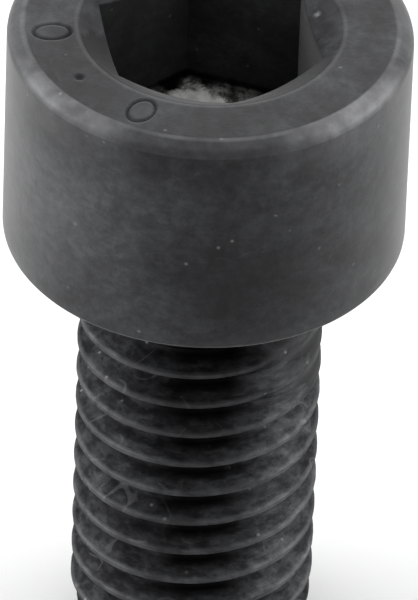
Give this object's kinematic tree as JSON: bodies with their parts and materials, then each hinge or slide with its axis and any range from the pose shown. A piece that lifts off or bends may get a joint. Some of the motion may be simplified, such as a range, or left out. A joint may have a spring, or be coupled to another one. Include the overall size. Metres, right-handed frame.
{
  "type": "hex socket cap screw",
  "caption": "Black steel hex socket cap screw: round head with a countersunk hexagon socket, on a short fully threaded shank with a right-hand thread.",
  "frame": {"origin": "centre of the bearing face under the head, on the screw's axis", "axes": "+Z along the screw's axis, from the thread to the top of the head; a corner of the hexagon socket points to +X"},
  "size_m": [0.016, 0.016, 0.03],
  "materials": {
    "black_steel": "black oxide on forged and rolled alloy steel, satin, lightly worn at the edges"
  },
  "bodies": {
    "root": {"cap_screw": "black_steel"}
  },
  "joints": []
}
